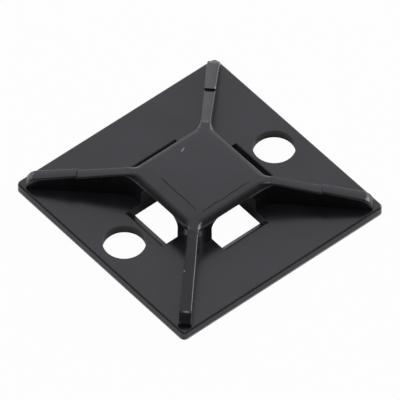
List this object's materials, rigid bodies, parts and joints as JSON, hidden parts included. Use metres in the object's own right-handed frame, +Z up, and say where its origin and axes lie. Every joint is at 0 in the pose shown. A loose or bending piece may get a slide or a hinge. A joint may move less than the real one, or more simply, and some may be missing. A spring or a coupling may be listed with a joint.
{
  "type": "cable tie mount",
  "caption": "Square base plate with a raised deck carried on ribs from its corners, crossing ways under the deck for cable ties, and holes beside it for screws.",
  "frame": {"origin": "middle of the underside of the base plate", "axes": "+Z up out of the base plate through the deck; X and Y along the plate's sides, with the screw holes on the Y axis"},
  "size_m": [0.028, 0.028, 0.0042],
  "materials": {
    "black_nylon": "satin, as moulded"
  },
  "bodies": {
    "root": {"tie_mount": "black_nylon"}
  },
  "joints": []
}
